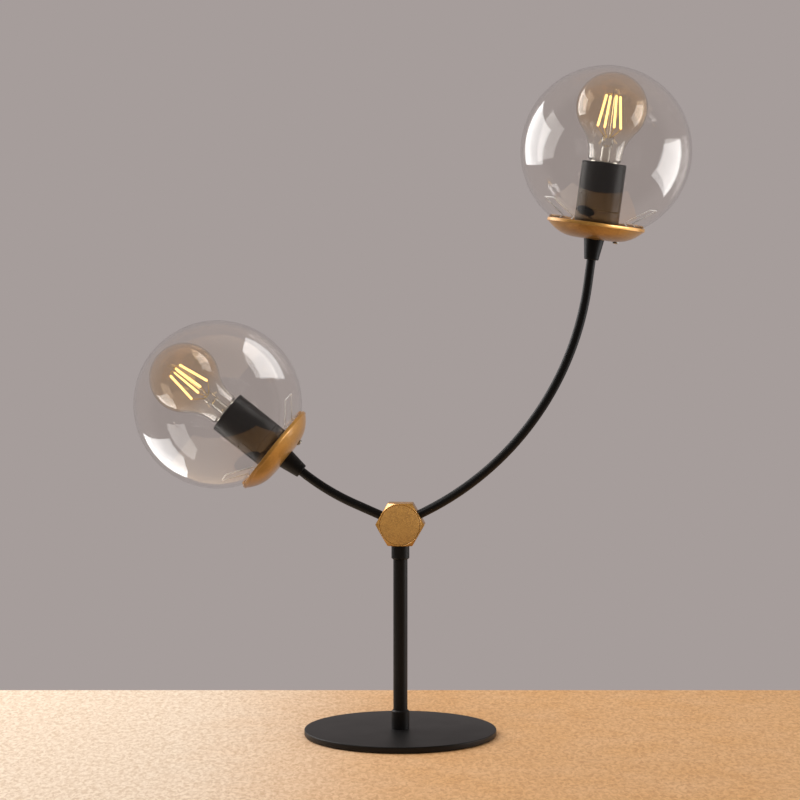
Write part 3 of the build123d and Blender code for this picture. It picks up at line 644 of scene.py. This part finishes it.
def skinned(name, place, lines, closed=True):
    """Mesh through lines of points, one round the axis after the other. A line can be one point."""
    around = max(len(line) for line in lines)
    mesh = bpy.data.meshes.new(name)
    built = bmesh.new()
    rows = []
    for line in lines:
        made = [built.verts.new(place @ Vector(point)) for point in line]
        rows.append(made * around if len(made) == 1 else made)
    paths = list(zip(rows, rows[1:] + rows[:1] if closed else rows[1:]))
    shares = [index / len(paths) for index in range(len(paths) + 1)]
    turning = built.loops.layers.uv.new("turning")
    for (low, high), v_low, v_high in zip(paths, shares, shares[1:]):
        for step in range(around):
            following = (step + 1) % around
            ends = [(low[step], step, v_low), (low[following], step + 1, v_low),
                    (high[following], step + 1, v_high), (high[step], step, v_high)]
            kept = [end for index, end in enumerate(ends) if end[0] is not ends[index - 1][0]]
            if len(kept) < 3:
                continue
            face = built.faces.new([end[0] for end in kept])
            for loop, (_, u, v) in zip(face.loops, kept):
                loop[turning].uv = (u / around, v)
    bmesh.ops.recalc_face_normals(built, faces=built.faces)
    built.to_mesh(mesh)
    built.free()
    mesh.shade_smooth()
    mesh.set_sharp_from_angle(angle=radians(sharp_angle))
    piece = bpy.data.objects.new(name, mesh)
    bpy.context.collection.objects.link(piece)
    return piece


def shaped(name, place, rings, around=128, closed=True):
    """Mesh through rings of (half width, half depth, height). A ring of no width is a point."""
    turns = [2 * pi * step / around for step in range(around)]
    lines = [[(wide * cos(t), deep * sin(t), height) for t in turns] if wide else [(0, 0, height)]
             for wide, deep, height in rings]
    return skinned(name, place, lines, closed)


def turned(name, place, profile, around=128, closed=True):
    """Piece turned about its axis from (radius, height) points."""
    return shaped(name, place, [(radius, radius, height) for radius, height in profile], around, closed)


def fitted(piece, body, slot, *nodes):
    """Puts a piece on its body, gives it its finish and hides the CAD nodes that it stands for."""
    piece.data.materials.append(finishes[slot])
    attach(piece, body)
    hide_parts(*nodes)
    return piece


# %% [markdown]
# ## The base plate
# A laser-cut steel disc, 5 mm thick. Its edges are broken before coating and the powder rounds them off a
# little more, which is what draws a thin bright line round the top edge. The CAD disc has plain chamfers,
# so it is turned again here with real roundings, with the recess for the nut under it.

# %% Base plate
base_edge = 0.9
base_under_edge = 0.5
base_hole = 5.05
base_recess = 9.5
base_recess_top = base.low + 3.0
base_around = 256
base_profile = eased([
    (base_recess, base.low, 0), (base.radius, base.low, base_under_edge), (base.radius, base.high, base_edge),
    (base_hole, base.high, 0), (base_hole, base_recess_top, 0), (base_recess, base_recess_top, 0),
])
fitted(turned("base_disc", stand, base_profile, base_around), "stand", "black_steel", "base_plate")
print("base disc", round(2 * base.radius, 1), "mm across")

# %% [markdown]
# ## The hub
# The hub is turned from hexagon bar. Its front is a round face, set off by a narrow groove with a sloping
# outer wall, and a cone that bevels the six corners. The groove's wall draws the bright crescent on the
# right of the face and the dark line on its left. It is hollow behind the face, with a seat for the cover,
# and it is bored for the two arms and the stem. A prism with a Bevel modifier has flat bevels, and a cone
# leaves curved ones, so the outside is a skin over rings, and Boolean modifiers cut the bores.

# %% Hub
hub_corners = [vertex.co for vertex in frame["nodes"]["hub_body"].data.vertices]
hub_low = min(corner.z for corner in hub_corners) / mm
hub_high = max(corner.z for corner in hub_corners) / mm
hub_front = max(-corner.y for corner in hub_corners) / mm
hub_half_flats = (hub_high - hub_low) / 2
hub_round = 1.0
hub_bevel = radians(30)
hub_corner_angles = (-30, -15, 0, 15, 30)
hub_edge = 0.2
hub_edge_steps = ((1.0, 0.0), (0.3, 0.2), (0.0, 1.0))
hub_face_rings = [(17.3, 0.0), (17.45, 0.04), (17.54, 0.16)]
hub_groove_rings = [(17.55, 0.9), (17.8, 0.9), (18.12, 0.5), (18.28, 0.39), (18.5, 0.36)]
hub_crest = 18.7
hub_crest_drop = 0.42
hub_cover_radius = 16.2
hub_cover_depth = 1.8
hub_cavity_radius = 15.0
hub_front_wall = 2.6
hub_rod_start = -0.5
hub_nut_room = 8.2
hub_nut_depth = 15.2
hub_bore_around = 64
hub_arm_bore = 4.15
hub_arm_reach = 30.0
hub_stem_bore = 5.05
hub_stem_reach = 25.0
hub_sharp_angle = 28
hub_centre = Matrix.Translation((0, 0, (hub_low + hub_high) / 2 * mm))
hub_to_front = Matrix(((1, 0, 0), (0, 0, -1), (0, 1, 0))).to_4x4()


def hexagon(inset=0.0, steps=12):
    """Points round the hexagon, with rounded corners, drawn in by an inset."""
    points = []
    arc_middle = (hub_half_flats - hub_round) / cos(pi / 6)
    for corner in range(6):
        turn = corner * pi / 3
        middle = Vector((arc_middle * cos(turn), arc_middle * sin(turn)))
        points += [middle + Vector((cos(turn + a), sin(turn + a))) * (hub_round - inset)
                   for a in [radians(lean) for lean in hub_corner_angles]]
        following = turn + pi / 3
        start = points[-1]
        end = Vector((arc_middle * cos(following), arc_middle * sin(following)))
        end += Vector((cos(following - pi / 6), sin(following - pi / 6))) * (hub_round - inset)
        points += [start.lerp(end, step / steps) for step in range(1, steps)]
    return points


def hub_lines():
    """From the middle of the face out over groove and bevel, down the sides, and back up the inside."""
    turns = [atan2(point.y, point.x) for point in hexagon()]

    def ring(radius, height):
        return [(radius * cos(t), radius * sin(t), height) for t in turns]

    def bevelled(inset, sink):
        crest_height = hub_front - hub_crest_drop
        return [(point.x, point.y, crest_height - (point.length - hub_crest) * tan(hub_bevel) - sink)
                for point in hexagon(inset)]

    def side(inset, height):
        return [(point.x, point.y, height) for point in hexagon(inset)]

    front_rings = hub_face_rings + hub_groove_rings + [(hub_crest, hub_crest_drop)]
    back = -hub_front
    seat = back + hub_cover_depth
    cavity_top = hub_front - hub_front_wall
    return [
        [(0, 0, hub_front)], *(ring(radius, hub_front - drop) for radius, drop in front_rings),
        *(bevelled(inset * hub_edge, sink * hub_edge) for inset, sink in hub_edge_steps),
        side(0.0, back + hub_edge), side(hub_edge / 2, back + hub_edge / 2), side(hub_edge, back),
        ring(hub_cover_radius, back), ring(hub_cover_radius, seat),
        ring(hub_cavity_radius, seat), ring(hub_cavity_radius, cavity_top), [(0, 0, cavity_top)],
    ]


def cutter(name, axis, bore, reach):
    """Rod from the hub's middle along an axis: as wide as a nut's room at first, and then as a bore."""
    facing = Vector(axis).to_track_quat("Z", "Y").to_matrix().to_4x4()
    rod = [(0, hub_rod_start), (hub_nut_room, hub_rod_start), (hub_nut_room, hub_nut_depth),
           (bore, hub_nut_depth), (bore, reach), (0, reach)]
    return turned(name, hub_centre @ facing @ Matrix.Scale(mm, 4), rod, hub_bore_around, closed=False)


def cut(piece, cutters):
    """Cuts pieces out of a piece and removes them."""
    for tool in cutters:
        step = piece.modifiers.new(tool.name, "BOOLEAN")
        step.object = tool
        step.solver = "EXACT"
    drawn = piece.evaluated_get(bpy.context.evaluated_depsgraph_get())
    mesh = bpy.data.meshes.new_from_object(drawn)
    piece.modifiers.clear()
    piece.data = mesh
    mesh.shade_smooth()
    mesh.set_sharp_from_angle(angle=radians(hub_sharp_angle))
    for tool in cutters:
        bpy.data.objects.remove(tool)


hub_blank = skinned("hub_shell", hub_centre @ hub_to_front @ Matrix.Scale(mm, 4), hub_lines(), closed=False)
tools = [cutter("stem_bore", (0, 0, -1), hub_stem_bore, hub_stem_reach)]
for name in ("long", "short"):
    tools.append(cutter(f"{name}_bore", joints[f"{name}_arm_swivel"]["axis"], hub_arm_bore, hub_arm_reach))
cut(hub_blank, tools)
fitted(hub_blank, "stand", "gold_paint", "hub_body")
print("hub", round(2 * hub_half_flats, 1), "mm across flats")

# %% [markdown]
# ## The globes
# A globe is a blown ball, 2 mm thick, cut open at the foot and fire-polished there, so the cut edge is
# round. Glass needs both its faces: light bends going in and coming out, and each face mirrors the
# softboxes. A sphere cut by a plane would have one face and a sharp edge, so the profile runs up the
# outside and back down the inside, with an arc between them.

# %% Globes
globe_wall = 2.0
globe_steps = 72
globe_edge_steps = 8
globe_around = 160
globe_middle = globe.high - globe.radius
globe_mouth = sqrt(globe.radius ** 2 - (globe_middle - globe.low) ** 2)


def globe_profile():
    """Outside from mouth to crown, inside back down, and the polished edge between them."""
    inner = globe.radius - globe_wall
    middle_radius = globe.radius - globe_wall / 2
    edge_rise = globe.low + globe_wall / 2 - globe_middle
    edge_angle = degrees(atan2(edge_rise, sqrt(middle_radius ** 2 - edge_rise ** 2)))
    outside = arc((0, globe_middle), globe.radius, edge_angle, 90, globe_steps)
    inside = arc((0, globe_middle), inner, 90, edge_angle, globe_steps)
    edge_middle = arc((0, globe_middle), middle_radius, edge_angle, edge_angle, 1)[0]
    edge = arc(edge_middle, globe_wall / 2, edge_angle + 180, edge_angle + 360, globe_edge_steps)
    outside[-1] = (0, globe.high)
    inside[0] = (0, globe.high - globe_wall)
    return outside + inside + edge[1:-1]


for head in heads:
    blown = turned(f"{head.name}_globe", head.place, globe_profile(), globe_around)
    fitted(blown, f"{head.name}_globe", "globe_glass", f"{head.name}_globe_glass")
print("globe mouth", round(2 * globe_mouth, 1), "mm")

# %% [markdown]
# ## The bulbs
# A bulb is a 63 mm ball that runs down into a neck through a hollow curve. Inside stands the stem: a flared
# glass tube, pinched flat over its wires, with a thin rod above that holds the four bright sticks. Support
# wires spread from the pinch like petals to the feet of the sticks and meet again at the rod's top. The glass
# is turned. Sticks and wires are curves with a round bevel, which stays round wherever the curve leads.

# %% Bulb glass
bulb_wall = 0.8
bulb_neck = 15.0
bulb_waist_steps = 16
bulb_ball_steps = 48
bulb_foot_radius = 12.2
foot_high = bulb.low + 6.1
neck_low = bulb.low + 7.8
neck_high = bulb.low + 9.3


def bulb_profile(inset):
    """Neck, hollow waist and ball, from the foot to the crown, drawn in by a wall."""
    ball_middle = bulb.high - bulb.radius
    rise = ball_middle - neck_high
    hollow = (rise ** 2 / (bulb.radius - bulb_neck) - (bulb.radius + bulb_neck)) / 2
    swing = degrees(atan2(rise, bulb_neck + hollow))
    foot = [(bulb_foot_radius - inset, bulb.low), (bulb_foot_radius - inset, foot_high)]
    waist = arc((bulb_neck + hollow, neck_high), hollow + inset, 180, 180 - swing, bulb_waist_steps)
    ball = arc((0, ball_middle), bulb.radius - inset, -swing, 90, bulb_ball_steps)
    ball[-1] = (0, bulb.high - inset)
    return foot + [(bulb_neck - inset, neck_low)] + waist + ball[1:]


for head in heads:
    both_faces = bulb_profile(0) + bulb_profile(bulb_wall)[::-1]
    blown = turned(f"{head.name}_bulb", head.place, both_faces)
    fitted(blown, f"{head.name}_bulb", "amber_glass", f"{head.name}_bulb_glass")
print("bulb", round(bulb.high - bulb.low, 1), "mm tall in glass")

# %% Glass stem
stem = span("long_bulb_stem", heads[0].place)
flare_radius = stem.radius
flare_height = 7.0
flare_angle = 70
flare_steps = 8
tube_radius = 4.5
tube_wall = 0.8
pinch_low = stem.low + 22.0
pinch_high = pinch_low + 7.0
tube_high = pinch_low - 4.0
bore_high = pinch_low - 3.0
bore_end = pinch_low - 1.0
pinch_half_width = 5.0
pinch_half_depth = 2.0
shoulder_half_depth = 3.2
flat_low = pinch_low + 2.5
flat_high = pinch_high - 1.0
pinch_top = (4.4, 1.6, pinch_high)
rod_radius = 1.3
rod_low = pinch_high + 1.2
rod_high = stem.high - 3.4
knob_radius = 1.9
knob_low = stem.high - 2.2
knob_high = stem.high - 1.0
knob_top_radius = 1.1
stem_around = 64


def stem_rings():
    """From the inside of the tube down to the flare's foot, then up the outside to the rod's top."""
    inner = tube_radius - tube_wall
    middle = (flare_radius, stem.low + flare_height)
    sweep = arc(middle, flare_radius - tube_radius, 180, 180 + flare_angle, flare_steps)
    bore = [(max(radius - tube_wall, inner), height) for radius, height in sweep]
    tube = [(inner, bore_high)] + bore + sweep[::-1] + [(tube_radius, tube_high)]
    rod = [(rod_radius, rod_low), (rod_radius, rod_high), (knob_radius, knob_low), (knob_radius, knob_high),
           (knob_top_radius, stem.high), (0, stem.high)]
    pinch = [
        (pinch_half_width, shoulder_half_depth, pinch_low), (pinch_half_width, pinch_half_depth, flat_low),
        (pinch_half_width, pinch_half_depth, flat_high), pinch_top,
    ]
    tube, rod = ([(radius, radius, height) for radius, height in part] for part in (tube, rod))
    return [(0, 0, bore_end)] + tube + pinch + rod


for head in heads:
    drawn = shaped(f"{head.name}_stem", head.place, stem_rings(), stem_around, closed=False)
    fitted(drawn, f"{head.name}_bulb", "stem_glass", f"{head.name}_bulb_stem")
print("stem", round(stem.high - stem.low, 1), "mm")

# %% Sticks and support wires
stick_radius = 1.1
stick_length = 29.0
stick_foot_radius = 11.0
stick_top_radius = 6.5
stick_top = bulb.high - 20.6
stick_first_angle = 22.0
stick_shares = (0, 0.012, 0.035, 0.5, 0.965, 0.988, 1)
stick_end_widths = ((0, 0.35), (1, 0.8), (-1, 0.35), (-2, 0.8))
wire_radius = 0.3
root_radius = 1.6
root_height = pinch_high - 2
bow_radius = 5.5
bow_drop = 1.2
root_sag = 0.4
root_to_bow = 0.6
crown_radius = 1.4
crown_rise = 1.2
crown_bow = 0.5


def drawn_wire(name, place, lines, radius, round_ends=False):
    """Round wire along lists of (x, y, z) points in mm. Round ends taper over their first step."""
    curve = bpy.data.curves.new(name, "CURVE")
    curve.dimensions = "3D"
    curve.bevel_depth = radius * mm
    curve.bevel_resolution = 4
    curve.use_fill_caps = True
    for line in lines:
        spline = curve.splines.new("POLY")
        spline.points.add(len(line) - 1)
        for point, at in zip(spline.points, line):
            point.co = (*(place @ Vector(at)), 1)
        if round_ends:
            for point, width in stick_end_widths:
                spline.points[point].radius = width
    wire = bpy.data.objects.new(name, curve)
    bpy.context.collection.objects.link(wire)
    return wire


def stick_line(index):
    """Foot and top of a stick, leaning in towards the top."""
    turn = radians(stick_first_angle + 90 * index)
    drop = sqrt(stick_length ** 2 - (stick_foot_radius - stick_top_radius) ** 2)
    foot = Vector((stick_foot_radius * cos(turn), stick_foot_radius * sin(turn), stick_top - drop))
    top = Vector((stick_top_radius * cos(turn), stick_top_radius * sin(turn), stick_top))
    return foot, top


def stick_lines():
    """Each stick with its rounded ends."""
    ends = [stick_line(index) for index in range(4)]
    return [[foot.lerp(top, share) for share in stick_shares] for foot, top in ends]


def petal_lines():
    """Wires from the pinch to the sticks' feet, and from the rod's top to their tops."""
    lines = []
    for index in range(4):
        foot, top = stick_line(index)
        out = Vector((foot.x, foot.y, 0)).normalized()
        root = out * root_radius + Vector((0, 0, root_height))
        bow = out * bow_radius + Vector((0, 0, (root.z + foot.z) / 2 - bow_drop))
        lines.append([root, root.lerp(bow, root_to_bow) - Vector((0, 0, root_sag)), bow, foot])
        crown = out * crown_radius + Vector((0, 0, top.z + crown_rise))
        lines.append([crown, crown.lerp(top, 0.5) + Vector((0, 0, crown_bow)), top])
    return lines


for head in heads:
    sticks = drawn_wire(f"{head.name}_sticks", head.place, stick_lines(), stick_radius, round_ends=True)
    fitted(sticks, f"{head.name}_bulb", "lit_stick", f"{head.name}_bulb_sticks")
    wires = drawn_wire(f"{head.name}_wires", head.place, petal_lines(), wire_radius)
    fitted(wires, f"{head.name}_bulb", "support_wire", f"{head.name}_bulb_wires")
print("sticks", stick_length, "mm")

# %% [markdown]
# ## The dishes
# Each dish is spun from sheet on a lathe: a flat middle, a shallow bowl that rises to the rim, and a rolled
# band round it. The band is what catches the light, so it is turned here with all its edges rounded. The
# bowl meets it 1 mm inside its outer face.

# %% Dishes
dish_flat = 13.0
dish_curve = 2.6
dish_steps = 24
dish_wall = 1.2
dish_band_height = 3.4
dish_band_inner = dish.radius - 1.8
dish_band_step = 1.0
dish_band_roundings = (0.6, 0.8, 0.4)
dish_hole = 5.05
dish_around = 192


def dish_profile():
    """Underside from the hole out to the band, round the band, and back over the inside."""
    bowl_top = dish.high - dish_band_height
    bowl_edge = dish.radius - dish_band_step
    below, above, within = dish_band_roundings

    def bowl(edge, low):
        shares = [step / dish_steps for step in range(dish_steps + 1)]
        return [(dish_flat + (edge - dish_flat) * out, low + (bowl_top - low) * out ** dish_curve)
                for out in shares]

    under = bowl(bowl_edge, dish.low)
    over = bowl(bowl_edge - dish_wall, dish.low + dish_wall)[::-1]
    band = eased([
        (bowl_edge, bowl_top, 0), (dish.radius, bowl_top, below), (dish.radius, dish.high, above),
        (dish_band_inner, dish.high, within), (dish_band_inner, bowl_top, 0),
    ])
    return [(dish_hole, dish.low)] + under[:-1] + band + over[1:] + [(dish_hole, dish.low + dish_wall)]


for head in heads:
    spun = turned(f"{head.name}_spun_dish", head.place, dish_profile(), dish_around)
    fitted(spun, f"{head.name}_arm", "gold_paint", f"{head.name}_dish")
print("dish", round(2 * dish.radius, 1), "mm across")

# %% [markdown]
# ## The spring clips
# Each clip is one hairpin of spring wire. Its legs stand in the plate, lean out to catch the globe's mouth,
# pinch in under it and then reach out and up inside the glass, where they join. Wire is bent round a pin, so
# its bends have one small radius, which a Bezier curve only comes near to. So its line is a chain of points
# with an arc at each corner. One leg is given as points of (distance from the head's axis, distance from the
# clip's middle, height), and the other mirrors it.

# %% Spring clips
clip_angles = (65.0, -55.0, 185.0)
clip_wire = 0.6
clip_bend = 1.1
clip_leg = [(27.5, 11.8, -5.7), (27.5, 11.8, -2.1), (33.3, 8.8, 0.5), (30.2, 8.5, 3.1), (52.0, 7.1, 17.2)]


def bent(corners, radius, steps=6):
    """Line through corners with an arc of one radius at each inner corner."""
    line = [corners[0]]
    for before, corner, after in zip(corners, corners[1:], corners[2:]):
        line += rounded(before, corner, after, radius, steps)
    return line + [corners[-1]]


def clip_lines():
    """Three hairpins. A clip's angle is counted from the front towards the right."""
    corners = [Vector(point) for point in clip_leg]
    corners += [Vector((x, -y, z)) for x, y, z in reversed(clip_leg)]
    hairpin = bent(corners, clip_bend)
    turns = [Matrix.Rotation(radians(angle - 90), 3, "Z") for angle in clip_angles]
    return [[turn @ point for point in hairpin] for turn in turns]


for head in heads:
    clips = drawn_wire(f"{head.name}_clips", head.place, clip_lines(), clip_wire)
    fitted(clips, f"{head.name}_arm", "spring_wire", f"{head.name}_spring_clips")
print("clips", len(clip_angles), "to a head")

# %% [markdown]
# ## Which softbox lights which piece
# Blender can link a light to a list of pieces. The short head's glass is on the list of its own pair, and
# off the list of the first pair. All glass is off the list of the softbox in front. The softboxes for gold
# have only the hub on their list, or only the two dishes.

# %% Link the softboxes
def listed(light, pieces, state):
    """Keeps a softbox to some pieces, or off them."""
    named = bpy.data.collections.new(f"{light.name}_pieces")
    for piece in pieces:
        named.objects.link(piece)
    for member in named.collection_objects:
        member.light_linking.link_state = state
    light.light_linking.receiver_collection = named


glass = {head.name: [bpy.data.objects[f"{head.name}_{part}"] for part in ("globe", "bulb", "stem")]
         for head in heads}
for name, light in hung.items():
    if name.startswith("short"):
        listed(light, glass["short"], "INCLUDE")
    elif name.startswith("hub"):
        listed(light, [hub_blank], "INCLUDE")
    elif name.endswith("rim_softbox"):
        listed(light, [bpy.data.objects[f"{head.name}_spun_dish"] for head in heads], "INCLUDE")
    elif name == "front_softbox":
        listed(light, glass["short"] + glass["long"], "EXCLUDE")
    else:
        listed(light, glass["short"], "EXCLUDE")
print("linked:", len(bpy.data.collections), "lists")
